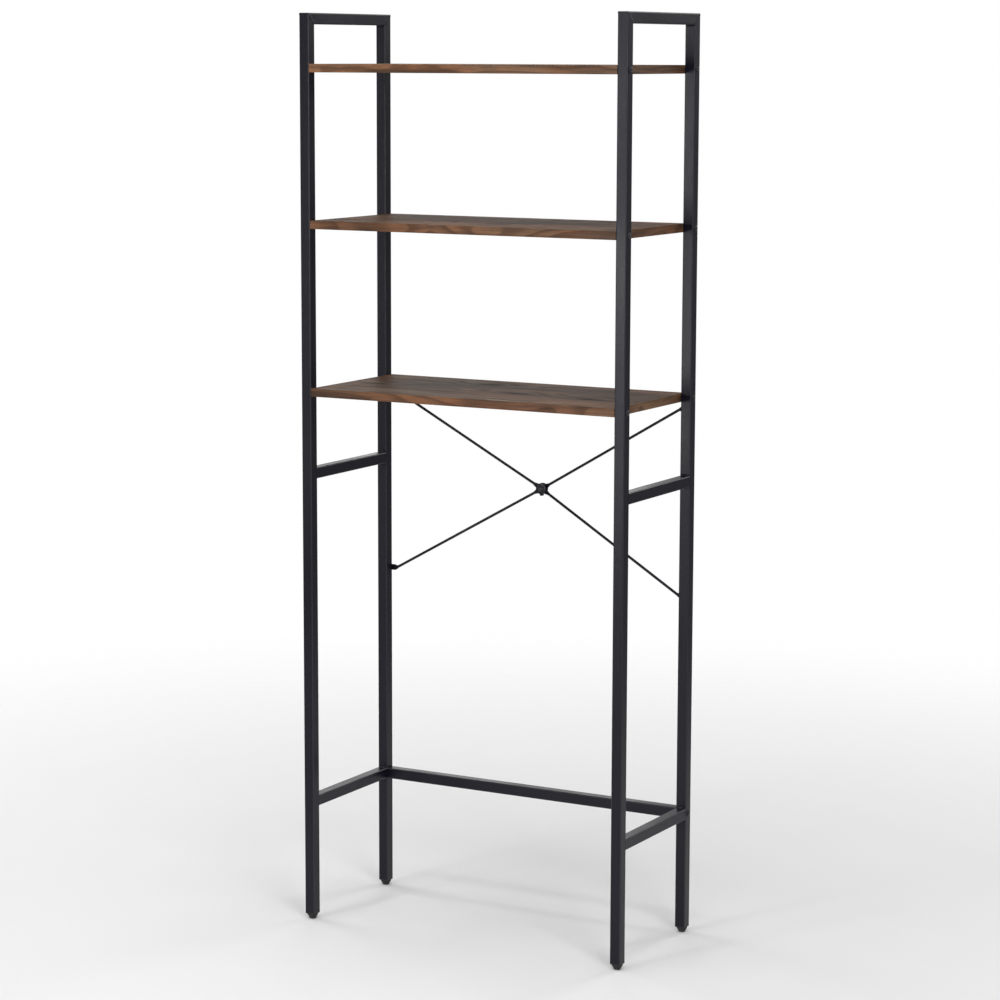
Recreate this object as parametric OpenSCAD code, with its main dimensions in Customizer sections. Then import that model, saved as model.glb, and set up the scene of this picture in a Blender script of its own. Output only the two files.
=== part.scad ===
// Over the toilet storage rack: two welded side frames of square tube, three wood-look shelves,
// a rear crossbar, a thin X brace and four levelling feet.
// Millimetres, +Z up. The origin is on the floor under the middle of the whole rack, the toilet
// side (front) faces -Y, and the width runs along X.

/* [Frame] */
// Height from the floor to the top of the side frames
height = 1650; // [1600:10:1720]
// Width across the outer faces of the two side frames
frame_w = 650; // [600:10:700]
// Depth from the front face of the front legs to the rear face of the rear legs
frame_d = 280; // [240:10:320]
// Side of the square steel tube
tube = 20; // [18:1:22]
// Wall thickness of the tube
wall = 1.2; // [1:0.1:1.5]
// Outside corner radius of the tube
corner_r = 2; // [1.6:0.1:3]
// Height of the underside of the mid rungs
mid_rung_z = 819; // [700:1:860]
// Height of the underside of the lower rungs and of the rear crossbar
low_rung_z = 212; // [150:1:300]

/* [Shelves] */
// Height of the underside of the bottom shelf
bottom_shelf_z = 970; // [960:1:1000]
// Height of the underside of the middle shelf
middle_shelf_z = 1270; // [1200:1:1350]
// Height of the underside of the top shelf
top_shelf_z = 1546; // [1450:1:1560]
// Thickness of the shelf boards
shelf_t = 15; // [15:1:18]
// Thickness of the edge band glued round each board
band_t = 0.8; // [0.4:0.1:2]
// Chamfer along the outer edges of the edge band
band_chamfer = 0.5; // [0.2:0.1:0.8]

/* [Brace] */
// Diameter of the brace rods
rod_d = 5; // [4:0.5:8]
// Height of the two upper ends of the brace rods
brace_top_z = 955; // [880:1:960]
// Height of the two lower ends of the brace rods
brace_low_z = 618; // [500:1:700]
// How far behind the rear legs the rods meet, because they are a little longer than the gap they span
brace_bow = 30; // [12:1:40]
// How far the flattened end of a rod reaches past the inner face of the leg
tab_reach = 13; // [8:1:20]
// Height of the flattened end of a rod
tab_h = 11; // [9:1:14]
// Diameter of the two clamp plates at the crossing
clamp_d = 21; // [16:1:26]
// Thickness of each clamp plate
clamp_t = 2.6; // [2:0.2:4]

/* [Feet] */
// Height of a foot pad with the foot screwed fully in
pad_h = 9.8; // [8:0.2:14]
// Diameter of the top of a foot pad
pad_top_d = 20; // [16:1:20]
// Diameter of the face of a foot pad that stands on the floor
pad_base_d = 11.5; // [10:0.5:16]
// Thickness of the rim of the plastic plug, below the end of the leg
plug_rim = 1.5; // [1:0.5:3]
// Length of the plastic plug inside the leg
plug_len = 24; // [18:1:32]

/* [Fasteners] */
// Radius of the M6 shanks of the shelf bolts, crossbar bolts and foot stems
m6_r = 3; // [3:0.1:3.1]
// Radius of the M5 shanks of the brace screws
m5_r = 2.5; // [2.5:0.1:2.6]
// Radius of the clearance holes for M6 in the legs
m6_hole_r = 3.2; // [3.1:0.1:3.5]
// Length of the shelf bolts and the crossbar bolts under the head
bolt_len = 31; // [28:1:32]
// Length of a threaded insert in the end of a board
insert_len = 13; // [10:1:16]
// Outer radius of a threaded insert
insert_r = 4.5; // [4:0.1:5]

/* [Hidden] */
$fn = 48;

// A side is -1 for left and 1 for right; an end is -1 for front and 1 for rear.
LEFT = -1;
RIGHT = 1;
FRONT = -1;
REAR = 1;

// Finishes
FRAME_BLACK = [0.14, 0.14, 0.15];
FOOT_BLACK = [0.07, 0.07, 0.075];
WOOD_FACE = [0.42, 0.36, 0.32];
WOOD_EDGE = [0.47, 0.32, 0.22];
ZINC = [0.72, 0.73, 0.74];
BRASS = [0.78, 0.64, 0.36];

// How far a cut reaches past the face it goes through
cut = 1;

// Tube and board sizes
tube_in = tube - 2 * wall;
inner_x = frame_w / 2 - tube;
leg_x = frame_w / 2 - tube / 2;
board_w = 2 * inner_x;

// Brace: the rods are flattened to mid_t where they cross, and to tab_t at their ends. Their round
// part starts mid_overlap inside the flat part, which reaches mid_reach past the clamp plates
tab_t = 2;
mid_t = 2.2;
mid_w = 9;
mid_reach = 3;
mid_overlap = 2;
mid_len = clamp_d + 2 * mid_reach;
tab_hole_r = m5_r + 0.2;
brace_head_r = 4.75;
brace_head_h = 2.6;
brace_socket_af = 3;
nut_af = 8;
nut_h = 4;
screw_end = 0.8;
rivet_r = 3.5;
rivet_len = 11;

// Clamp plates: the front one has a lug that hooks under the rear one, joined to it by a neck
plate_bevel = 0.7;
lug_w = 5;
lug_h = 2.6;
lug_setback = 0.6;
lug_behind = 0.8;
neck_top = 1.4;
neck_bottom = 0.1;

brace_mid_z = (brace_top_z + brace_low_z) / 2;
rod_end_x = inner_x - tab_reach;
clamp_stack = mid_t + clamp_t + nut_h + screw_end;

// Depth positions: the rack's box reaches from the front legs to the end of the clamp screw
total_d = frame_d + brace_bow + clamp_stack;
y_front = -total_d / 2;
y_back = y_front + frame_d;
y_cross = y_back + brace_bow;
y_tab = y_back + tab_t / 2;
y_middle = (y_front + y_back) / 2;

// Feet: the pad stops pad_gap under the plug, and the stem is longer than its travel of 8 mm
pad_gap = 0.2;
leg_z = pad_h + pad_gap + plug_rim;
stem_z = 3;
stem_len = 27;
bush_r = 4.5;
bush_len = 18;
bush_clearance = 0.08;
plug_clearance = 0.4;

// Pad: an upright rim, broken at its top edge, and a rounding where the cone meets the floor face
pad_rim = 1.8;
pad_edge = 0.4;
pad_round_r = 1;
pad_round_angle = 60;
pad_round_steps = 4;

// Threaded plugs in the ends of the crossbar
bar_plug_len = 14;

// Button heads of the M6 bolts, and how high above a head's seat its socket ends
head_r = 5.5;
head_h = 3;
socket_af = 4;
socket_floor = 1;

function leg_y(end) = end == FRONT ? y_front + tube / 2 : y_back - tube / 2;

// Quarter of an ellipse from [r, 0] up to [0, h], as points of a turned profile
function dome(r, h, steps = 8) = [for (i = [0:steps]) [r * cos(90 * i / steps), h * sin(90 * i / steps)]];

// Square of side s with corners of radius r, centred
module rounded_square(s, r) {
    square([s, s - 2 * r], center = true);
    square([s - 2 * r, s], center = true);
    for (x = [-1, 1], y = [-1, 1])
        translate([x * (s / 2 - r), y * (s / 2 - r)]) circle(r);
}

// Square steel tube of the given length, standing on z = 0
module tube_stock(length) {
    linear_extrude(length)
        difference() {
            rounded_square(tube, corner_r);
            rounded_square(tube_in, corner_r - wall);
        }
}

// Space above the 45 degree plane through the outer top edge of a side frame's corner
module above_mitre(side, end) {
    translate([side * leg_x, end == FRONT ? y_front : y_back, height])
        rotate([45 * end, 0, 0])
            translate([-tube, -2 * tube, 0]) cube([2 * tube, 4 * tube, 2 * tube]);
}

// The same for the space below that plane
module below_mitre(side, end) {
    translate([side * leg_x, end == FRONT ? y_front : y_back, height])
        rotate([45 * end, 0, 0])
            translate([-tube, -2 * tube, -2 * tube]) cube([2 * tube, 4 * tube, 2 * tube]);
}

// Hole or rod along X through the middle of a leg
module across_leg(side, end, z, r) {
    translate([side * leg_x, leg_y(end), z])
        rotate([0, 90, 0]) cylinder(h = tube + 2 * cut, r = r, center = true);
}

// One leg, from the foot plug to the mitred top corner
module leg(side, end) {
    color(FRAME_BLACK)
        difference() {
            translate([side * leg_x, leg_y(end), leg_z]) tube_stock(height - leg_z);
            above_mitre(side, end);
            for (z = [bottom_shelf_z, middle_shelf_z, top_shelf_z])
                across_leg(side, end, z + shelf_t / 2, m6_hole_r);
            if (end == REAR) {
                across_leg(side, end, low_rung_z + tube / 2, m6_hole_r);
                for (z = [brace_low_z, brace_top_z])
                    translate([side * leg_x, y_back + cut, z])
                        rotate([90, 0, 0]) cylinder(h = wall + 2 * cut, r = rivet_r);
            }
        }
}

// Bar across the top of a side frame, mitred at both ends
module top_bar(side) {
    color(FRAME_BLACK)
        difference() {
            translate([side * leg_x, y_front, height - tube / 2])
                rotate([-90, 0, 0]) tube_stock(frame_d);
            below_mitre(side, FRONT);
            below_mitre(side, REAR);
        }
}

// Rung between the legs of a side frame, with its underside at z
module rung(side, z) {
    color(FRAME_BLACK)
        translate([side * leg_x, y_front + tube, z + tube / 2])
            rotate([-90, 0, 0]) tube_stock(frame_d - 2 * tube);
}

// Bar between the rear legs
module crossbar() {
    color(FRAME_BLACK)
        translate([-inner_x, leg_y(REAR), low_rung_z + tube / 2])
            rotate([0, 90, 0]) tube_stock(board_w);
}

// Threaded plug pressed into each end of the crossbar
module crossbar_plug_pair() {
    color(ZINC)
        for (side = [LEFT, RIGHT])
            translate([side * (inner_x - bar_plug_len / 2), leg_y(REAR), low_rung_z + tube / 2])
                rotate([0, 90 * side, 0])
                    difference() {
                        translate([0, 0, -bar_plug_len / 2])
                            linear_extrude(bar_plug_len) rounded_square(tube_in, corner_r - wall);
                        cylinder(h = bar_plug_len + 2 * cut, r = m6_r, center = true);
                    }
}

// Button-head bolt with a hexagon socket: the head is above z = 0, the shank below it
module button_bolt(shank_r, length, r, h, af) {
    difference() {
        union() {
            translate([0, 0, -length]) cylinder(h = length, r = shank_r);
            rotate_extrude() polygon(concat([[0, 0]], dome(r, h)));
        }
        translate([0, 0, socket_floor]) cylinder(h = h, r = af / sqrt(3), $fn = 6);
    }
}

// Bolt through a leg from outside, along X
module leg_bolt(side, end, z) {
    translate([side * frame_w / 2, leg_y(end), z])
        rotate([0, 90 * side, 0]) button_bolt(m6_r, bolt_len, head_r, head_h, socket_af);
}

module crossbar_bolt_pair() {
    color(FOOT_BLACK)
        for (side = [LEFT, RIGHT]) leg_bolt(side, REAR, low_rung_z + tube / 2);
}

// Block with chamfered edges, built from three chamfered outlines that cross
module chamfered_block(size, c) {
    intersection() {
        translate([0, 0, -size.z / 2]) linear_extrude(size.z) chamfered_square(size.x, size.y, c);
        rotate([90, 0, 0])
            translate([0, 0, -size.y / 2]) linear_extrude(size.y) chamfered_square(size.x, size.z, c);
        rotate([90, 0, 90])
            translate([0, 0, -size.x / 2]) linear_extrude(size.x) chamfered_square(size.y, size.z, c);
    }
}

module chamfered_square(w, h, c) {
    polygon([
        [-w / 2 + c, -h / 2], [w / 2 - c, -h / 2], [w / 2, -h / 2 + c], [w / 2, h / 2 - c],
        [w / 2 - c, h / 2], [-w / 2 + c, h / 2], [-w / 2, h / 2 - c], [-w / 2, -h / 2 + c],
    ]);
}

// Cylinders in the four places of a shelf's inserts, which reach past the board's ends by over
module insert_places(z, r, over = 0) {
    for (side = [LEFT, RIGHT], end = [FRONT, REAR])
        translate([side * (inner_x - insert_len), leg_y(end), z + shelf_t / 2])
            rotate([0, 90 * side, 0]) cylinder(h = insert_len + over, r = r);
}

// Board of one shelf inside its edge band
module shelf_core(z) {
    translate([-inner_x + band_t, y_front + band_t, z])
        cube([board_w - 2 * band_t, frame_d - 2 * band_t, shelf_t]);
}

module shelf(z) {
    color(WOOD_FACE)
        difference() {
            shelf_core(z);
            insert_places(z, insert_r, cut);
        }
}

// Band round the four edges of a board
module edge_band(z) {
    color(WOOD_EDGE)
        difference() {
            translate([0, y_middle, z + shelf_t / 2])
                chamfered_block([board_w, frame_d, shelf_t], band_chamfer);
            translate([0, 0, -cut]) shelf_core(z);
            translate([0, 0, cut]) shelf_core(z);
            insert_places(z, insert_r, cut);
        }
}

// Threaded inserts of one shelf
module inserts(z) {
    color(BRASS)
        difference() {
            insert_places(z, insert_r);
            insert_places(z, m6_r, cut);
        }
}

// Bolts of one shelf
module shelf_bolts(z) {
    color(FOOT_BLACK)
        for (side = [LEFT, RIGHT], end = [FRONT, REAR]) leg_bolt(side, end, z + shelf_t / 2);
}

// Round rod from point p to point q
module rod_between(p, q) {
    d = q - p;
    translate(p)
        rotate([0, acos(d.z / norm(d)), atan2(d.y, d.x)]) cylinder(h = norm(d), d = rod_d);
}

// Flattened end of a rod over the rear face of a leg, with a rounded tip and a screw hole
module rod_tab(side, z) {
    translate([0, y_tab, z])
        rotate([90, 0, 0])
            difference() {
                union() {
                    translate([side * (leg_x + rod_end_x) / 2, 0, 0])
                        cube([leg_x - rod_end_x, tab_h, tab_t], center = true);
                    for (x = [rod_end_x, leg_x])
                        translate([side * x, 0, 0])
                            cylinder(h = tab_t, d = tab_h, center = true);
                }
                translate([side * leg_x, 0, 0])
                    cylinder(h = tab_t + 2 * cut, r = tab_hole_r, center = true);
            }
}

// One brace rod. It starts at the left at z_left, is flattened and drilled at the crossing,
// where its middle lies at depth y_mid, and ends at the right at z_right
module brace_rod(z_left, z_right, y_mid) {
    slope = atan2(z_right - z_left, 2 * rod_end_x);
    half = mid_len / 2 - mid_overlap;
    step = [half * cos(slope), 0, half * sin(slope)];
    middle = [0, y_mid, brace_mid_z];
    color(FRAME_BLACK)
        difference() {
            union() {
                rod_tab(LEFT, z_left);
                rod_tab(RIGHT, z_right);
                rod_between([-rod_end_x, y_tab, z_left], middle - step);
                rod_between(middle + step, [rod_end_x, y_tab, z_right]);
                translate(middle)
                    rotate([0, -slope, 0]) cube([mid_len, mid_t, mid_w], center = true);
            }
            translate(middle)
                rotate([90, 0, 0]) cylinder(h = mid_t + 2 * cut, r = tab_hole_r, center = true);
        }
}

// Clamp plate at the crossing, with its bevelled face turned towards -Y or +Y
module clamp_plate(end) {
    translate([0, y_cross + end * mid_t, brace_mid_z])
        rotate([-90 * end, 0, 0])
            difference() {
                union() {
                    cylinder(h = clamp_t - plate_bevel, d = clamp_d);
                    translate([0, 0, clamp_t - plate_bevel])
                        cylinder(h = plate_bevel, d1 = clamp_d, d2 = clamp_d - 2 * plate_bevel);
                }
                translate([0, 0, -cut]) cylinder(h = clamp_t + 2 * cut, r = m5_r);
            }
}

// Front plate, with a lug at the bottom that hooks under the rear plate
module clamp_front_plate() {
    lug_y = y_cross - mid_t - clamp_t + lug_setback;
    plate_bottom = brace_mid_z - clamp_d / 2;
    color(FRAME_BLACK) {
        clamp_plate(FRONT);
        translate([-lug_w / 2, lug_y, plate_bottom - lug_h])
            cube([lug_w, y_cross + mid_t + clamp_t - lug_behind - lug_y, lug_h]);
        translate([-lug_w / 2, lug_y, plate_bottom - neck_bottom])
            cube([lug_w, clamp_t - lug_setback, neck_bottom + neck_top]);
    }
}

module clamp_rear_plate() {
    color(FRAME_BLACK) clamp_plate(REAR);
}

// Screw through the crossing, with its head in front
module clamp_bolt() {
    reach = 2 * (mid_t + clamp_t) + nut_h + screw_end;
    color(FOOT_BLACK)
        translate([0, y_cross - mid_t - clamp_t, brace_mid_z])
            rotate([90, 0, 0])
                button_bolt(m5_r, reach, brace_head_r, brace_head_h, brace_socket_af);
}

// Nut behind the rear plate
module clamp_hex_nut() {
    color(ZINC)
        translate([0, y_cross + mid_t + clamp_t, brace_mid_z])
            rotate([-90, 0, 0])
                difference() {
                    cylinder(h = nut_h, r = nut_af / sqrt(3), $fn = 6);
                    translate([0, 0, -cut]) cylinder(h = nut_h + 2 * cut, r = m5_r);
                }
}

// Places of the four brace ends on the rear faces of the legs, turned so that +Z leads backwards
module at_brace_ends() {
    for (side = [LEFT, RIGHT], z = [brace_low_z, brace_top_z])
        translate([side * leg_x, y_back, z]) rotate([-90, 0, 0]) children();
}

module brace_end_screws() {
    color(FOOT_BLACK)
        at_brace_ends()
            translate([0, 0, tab_t])
                button_bolt(m5_r, rivet_len, brace_head_r, brace_head_h, brace_socket_af);
}

// Rivet nuts set in the rear walls of the rear legs
module rivet_nuts() {
    color(ZINC)
        at_brace_ends()
            difference() {
                translate([0, 0, -rivet_len]) cylinder(h = rivet_len, r = rivet_r);
                translate([0, 0, -rivet_len - cut]) cylinder(h = rivet_len + 2 * cut, r = m5_r);
            }
}

// Plastic plug in the bottom of a leg, with a rim under the tube's end
module foot_plug(side, end) {
    color(FOOT_BLACK)
        translate([side * leg_x, leg_y(end), leg_z])
            difference() {
                union() {
                    translate([0, 0, -plug_rim]) linear_extrude(plug_rim) rounded_square(tube, corner_r);
                    linear_extrude(plug_len) rounded_square(tube_in, corner_r - wall);
                }
                cylinder(h = bush_len, r = bush_r);
                translate([0, 0, -plug_rim - cut])
                    cylinder(h = plug_len + plug_rim + 2 * cut, r = m6_r + plug_clearance);
            }
}

// Threaded brass bush moulded into each plug
module bushes() {
    color(BRASS)
        for (side = [LEFT, RIGHT], end = [FRONT, REAR])
            translate([side * leg_x, leg_y(end), leg_z])
                difference() {
                    cylinder(h = bush_len, r = bush_r);
                    translate([0, 0, -cut])
                        cylinder(h = bush_len + 2 * cut, r = m6_r + bush_clearance);
                }
}

// Threaded stem of a levelling foot
module foot_stem(side, end) {
    color(ZINC)
        translate([side * leg_x, leg_y(end), stem_z]) cylinder(h = stem_len, r = m6_r);
}

// Tapered pad of a levelling foot, moulded round its stem
module foot_pad(side, end) {
    top_r = pad_top_d / 2;
    flat_r = pad_base_d / 2 - pad_round_r;
    rounding = [
        for (i = [0:pad_round_steps])
            let (a = pad_round_angle * i / pad_round_steps)
                [flat_r + pad_round_r * sin(a), pad_round_r * (1 - cos(a))],
    ];
    rim = [
        [top_r, pad_h - pad_rim], [top_r, pad_h - pad_edge], [top_r - pad_edge, pad_h], [0, pad_h],
    ];
    color(FOOT_BLACK)
        translate([side * leg_x, leg_y(end), 0])
            difference() {
                rotate_extrude() polygon(concat([[0, 0]], rounding, rim));
                translate([0, 0, stem_z]) cylinder(h = pad_h, r = m6_r);
            }
}

leg(LEFT, FRONT);  // leg_front_left
leg(RIGHT, FRONT);  // leg_front_right
leg(LEFT, REAR);  // leg_rear_left
leg(RIGHT, REAR);  // leg_rear_right
top_bar(LEFT);  // top_bar_left
top_bar(RIGHT);  // top_bar_right
rung(LEFT, mid_rung_z);  // mid_rung_left
rung(RIGHT, mid_rung_z);  // mid_rung_right
rung(LEFT, low_rung_z);  // lower_rung_left
rung(RIGHT, low_rung_z);  // lower_rung_right
crossbar();  // rear_crossbar
crossbar_plug_pair();  // crossbar_plugs
crossbar_bolt_pair();  // crossbar_bolts
shelf(top_shelf_z);  // shelf_top
shelf(middle_shelf_z);  // shelf_middle
shelf(bottom_shelf_z);  // shelf_bottom
edge_band(top_shelf_z);  // band_top
edge_band(middle_shelf_z);  // band_middle
edge_band(bottom_shelf_z);  // band_bottom
inserts(top_shelf_z);  // inserts_top
inserts(middle_shelf_z);  // inserts_middle
inserts(bottom_shelf_z);  // inserts_bottom
shelf_bolts(top_shelf_z);  // bolts_top
shelf_bolts(middle_shelf_z);  // bolts_middle
shelf_bolts(bottom_shelf_z);  // bolts_bottom
brace_rod(brace_top_z, brace_low_z, y_cross - mid_t / 2);  // brace_rod_falling
brace_rod(brace_low_z, brace_top_z, y_cross + mid_t / 2);  // brace_rod_rising
clamp_front_plate();  // clamp_front
clamp_rear_plate();  // clamp_rear
clamp_bolt();  // clamp_screw
clamp_hex_nut();  // clamp_nut
brace_end_screws();  // brace_screws
rivet_nuts();  // brace_rivet_nuts
foot_plug(LEFT, FRONT);  // foot_plug_front_left
foot_plug(RIGHT, FRONT);  // foot_plug_front_right
foot_plug(LEFT, REAR);  // foot_plug_rear_left
foot_plug(RIGHT, REAR);  // foot_plug_rear_right
bushes();  // foot_bushes
foot_stem(LEFT, FRONT);  // foot_stem_front_left
foot_stem(RIGHT, FRONT);  // foot_stem_front_right
foot_stem(LEFT, REAR);  // foot_stem_rear_left
foot_stem(RIGHT, REAR);  // foot_stem_rear_right
foot_pad(LEFT, FRONT);  // foot_pad_front_left
foot_pad(RIGHT, FRONT);  // foot_pad_front_right
foot_pad(LEFT, REAR);  // foot_pad_rear_left
foot_pad(RIGHT, REAR);  // foot_pad_rear_right
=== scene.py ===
# %% [markdown]
# # Over the toilet storage rack
#
# Two welded side frames of square black tube stand on four levelling feet. Three wood-look
# boards are bolted between them above the toilet's tank, a crossbar joins the rear legs near the
# floor, and two thin rods cross in an X behind.
#
# The tubes, boards, bands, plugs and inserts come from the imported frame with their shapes
# right, so here they only get their finishes. The small parts that a hand or an eye comes close
# to (rods, clamp plates, screws, nut, feet) and the weld beads are worked out here as surfaces.

# %% Load the frame
from math import cos, pi, radians, sin, sqrt, tan

import bmesh
import bpy
import numpy as np
from mathutils import Matrix, Vector


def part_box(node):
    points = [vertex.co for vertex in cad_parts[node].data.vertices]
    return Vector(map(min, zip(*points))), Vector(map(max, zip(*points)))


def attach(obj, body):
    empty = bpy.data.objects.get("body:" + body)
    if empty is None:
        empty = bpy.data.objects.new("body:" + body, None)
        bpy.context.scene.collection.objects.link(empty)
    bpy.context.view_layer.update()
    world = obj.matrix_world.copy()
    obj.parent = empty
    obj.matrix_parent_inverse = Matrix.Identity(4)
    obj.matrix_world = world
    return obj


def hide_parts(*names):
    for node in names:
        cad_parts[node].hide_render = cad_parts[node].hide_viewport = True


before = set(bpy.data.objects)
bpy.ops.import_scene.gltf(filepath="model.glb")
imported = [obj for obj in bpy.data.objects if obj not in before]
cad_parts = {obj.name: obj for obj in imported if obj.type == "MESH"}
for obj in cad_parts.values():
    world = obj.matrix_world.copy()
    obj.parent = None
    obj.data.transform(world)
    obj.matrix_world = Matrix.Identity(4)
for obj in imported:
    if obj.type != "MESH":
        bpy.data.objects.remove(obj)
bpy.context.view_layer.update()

# %% [markdown]
# ## Measures
#
# Every piece goes where the frame's own boxes say. A leg gives the side of the tube and the
# places of all four legs; the rungs, top bars and crossbar give their heights. Writing them once,
# by name, keeps the later cells short.

# %% Measures of the frame
MM = 0.001
leg_low, leg_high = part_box("leg_front_right")
rear_low, rear_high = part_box("leg_rear_right")
TUBE = leg_high.x - leg_low.x
HALF = TUBE / 2
LEG_X = (leg_low.x + leg_high.x) / 2
FRONT_Y = (leg_low.y + leg_high.y) / 2
REAR_Y = (rear_low.y + rear_high.y) / 2
MIDDLE_Y = (FRONT_Y + REAR_Y) / 2
BACK = rear_high.y
TOP = leg_high.z
LEFT_RIGHT = (-1, 1)


def middle_height(node):
    """Height of the middle of a node's box, in metres."""
    low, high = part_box(node)
    return (low.z + high.z) / 2


RUNG_HEIGHTS = [middle_height("lower_rung_right"), middle_height("mid_rung_right")]
TOP_BAR_HEIGHT = middle_height("top_bar_right")
CROSSBAR_HEIGHT = middle_height("rear_crossbar")
print(f"tube {TUBE / MM:.0f} mm, legs at x {LEG_X:.3f}, y {FRONT_Y:.4f} and {REAR_Y:.4f}")

# %% [markdown]
# ## Camera
#
# The camera stands a little to the right of the front, at the height of the top shelf, and
# looks slightly down. A long lens keeps the legs nearly parallel. Its three axes are written out
# as vectors: forward from the two angles, right from the azimuth, and up from both.

# %% Camera
EYE = (2.572, -4.630, 1.580)
AZIMUTH, PITCH, ROLL = radians(29.10), radians(8.54), radians(0.16)
forward = Vector((-sin(AZIMUTH) * cos(PITCH), cos(AZIMUTH) * cos(PITCH), -sin(PITCH)))
level_right = Vector((cos(AZIMUTH), sin(AZIMUTH), 0))
level_up = level_right.cross(forward)
right = level_right * cos(ROLL) + level_up * sin(ROLL)
up = level_up * cos(ROLL) - level_right * sin(ROLL)
view = bpy.data.cameras.new("view")
view.lens = 107.06
view.sensor_width = 36
view.clip_end = 60
camera = bpy.data.objects.new("camera", view)
turn = Matrix((right, up, -forward)).transposed()
camera.matrix_world = Matrix.Translation(EYE) @ turn.to_4x4()
bpy.context.scene.collection.objects.link(camera)
bpy.context.scene.camera = camera
print("camera", [round(v, 3) for v in camera.location], "lens", view.lens)

# %% [markdown]
# ## Surfaces from arrays
#
# A turned part, a swept rod and a weld bead are all the same thing: rings of points, stacked.
# A few helpers turn any such stack into a mesh. They join each ring to the next, close each ring
# on itself, and turn the faces outwards if the volume they enclose comes out negative.

# %% Faces between rings
def ring_faces(rings, points, ring_loop=False):
    """Quads of a stack: corner (i, j), (i, j+1), (i+1, j+1), (i+1, j), where j runs round the
    ring and starts again at 0, and i does so too if the stack closes on itself."""
    i = np.arange(rings if ring_loop else rings - 1)[:, None]
    j = np.arange(points)[None, :]
    k, m = (i + 1) % rings, (j + 1) % points
    corners = [i * points + j, i * points + m, k * points + m, k * points + j]
    return np.stack(np.broadcast_arrays(*corners), -1).reshape(-1, 4)


def outward(points, faces):
    """The faces as they are, or reversed where the volume they enclose, a sixth of the sum of
    a . (b x c) over their triangles, is negative."""
    a, b, c, d = (points[faces[:, n]] for n in range(4))
    volume = (a * np.cross(b, c)).sum() + (a * np.cross(c, d)).sum()
    return faces if volume > 0 else faces[:, ::-1]


print("two rings of six points are joined by", len(ring_faces(2, 6)), "quads")

# %% Points and faces of whole stacks
def joined(stacks):
    """Points and quads of every copy in some stacks. A stack is (copies, rings, points, 3), and
    with it comes whether it closes on itself."""
    places, quads, count = [], [], 0
    for stack, ring_loop in stacks:
        copies, rings, points = stack.shape[:3]
        faces = ring_faces(rings, points, ring_loop)
        for copy in stack.reshape(copies, -1, 3):
            places.append(copy)
            quads.append(outward(copy, faces) + count)
            count += len(copy)
    return np.concatenate(places), np.concatenate(quads)


points, quads = joined([(np.zeros((3, 2, 4, 3)), False)])
print("three copies of two rings of four have", len(points), "points and", len(quads), "quads")

# %% [markdown]
# A ring that has shrunk to one place is a pole, such as the middle of a bolt's tip. Its points
# are merged, so that the surface closes there. Edges sharper than 35 degrees stay crisp, and the
# rest is shaded smooth. Then the piece rides on its body and stands for the frame's plainer
# nodes.

# %% Closing poles
MERGE = 1e-7


def close_poles(mesh):
    """Merge the points of each ring that has shrunk to one place, and drop what collapses."""
    work = bmesh.new()
    work.from_mesh(mesh)
    bmesh.ops.remove_doubles(work, verts=work.verts, dist=MERGE)
    work.to_mesh(mesh)
    work.free()
    mesh.validate()


# %% Stacks to a piece
SHARP = radians(35)


def solid(name, stacks, material, body="rack", stands_for=(), wear=None):
    """One piece from stacks of rings. wear, where given, is one value for each point."""
    points, quads = joined(stacks)
    mesh = bpy.data.meshes.new(name)
    mesh.from_pydata(points, [], quads.tolist())
    if wear is not None:
        layer = mesh.attributes.new("wear", "FLOAT", "POINT")
        layer.data.foreach_set("value", np.asarray(wear, np.float32).ravel())
    close_poles(mesh)
    mesh.shade_smooth()
    mesh.set_sharp_from_angle(angle=SHARP)
    mesh.materials.append(material)
    piece = bpy.data.objects.new(name, mesh)
    bpy.context.scene.collection.objects.link(piece)
    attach(piece, body)
    if stands_for:
        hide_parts(*stands_for)
    print(f"{name}: {len(mesh.polygons)} faces on {body}")


# %% [markdown]
# ## Profiles
#
# Real edges are never sharp: they are broken, rolled or moulded round. A profile is therefore
# drawn with its corners, and each corner is then rounded by a short curve that leaves one edge
# and joins the next. A turned part is a profile spun round its axis.

# %% Rounded profiles
def softened(corners, reach, steps=4):
    """A line of corners with each inner corner replaced by a quadratic curve: it leaves the
    incoming edge reach before the corner and meets the outgoing edge reach after it, at
    (1-t)^2 start + 2t(1-t) corner + t^2 end."""
    line = np.array(corners, float)
    inner = line[1:-1]
    size = np.broadcast_to(np.array(reach, float), len(inner))[:, None]
    back, on = line[:-2] - inner, line[2:] - inner
    start = inner + size * back / np.linalg.norm(back, axis=1, keepdims=True)
    end = inner + size * on / np.linalg.norm(on, axis=1, keepdims=True)
    t = np.linspace(0, 1, steps)[None, :, None]
    start, inner, end = start[:, None], inner[:, None], end[:, None]
    curves = (1 - t) ** 2 * start + 2 * t * (1 - t) * inner + t**2 * end
    return np.concatenate([line[:1], curves.reshape(-1, 2), line[-1:]])


print("a right angle is rounded by", len(softened([(0, 0), (1, 0), (1, 1)], 0.2)) - 2, "points")

# %% Turned rings
def around(count):
    """The angles of the points of a ring."""
    return np.linspace(0, 2 * pi, count, endpoint=False)


def turned(radius, height, sides):
    """Rings of a turned part. radius and height hold one value for each ring, or one for each
    ring and angle, and a point is (radius cos a, radius sin a, height)."""
    r, z = (np.array(v, float).reshape(len(v), -1) for v in (radius, height))
    r, z, a = np.broadcast_arrays(r, z, around(sides)[None, :])
    return np.stack([r * np.cos(a), r * np.sin(a), z], -1)


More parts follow.
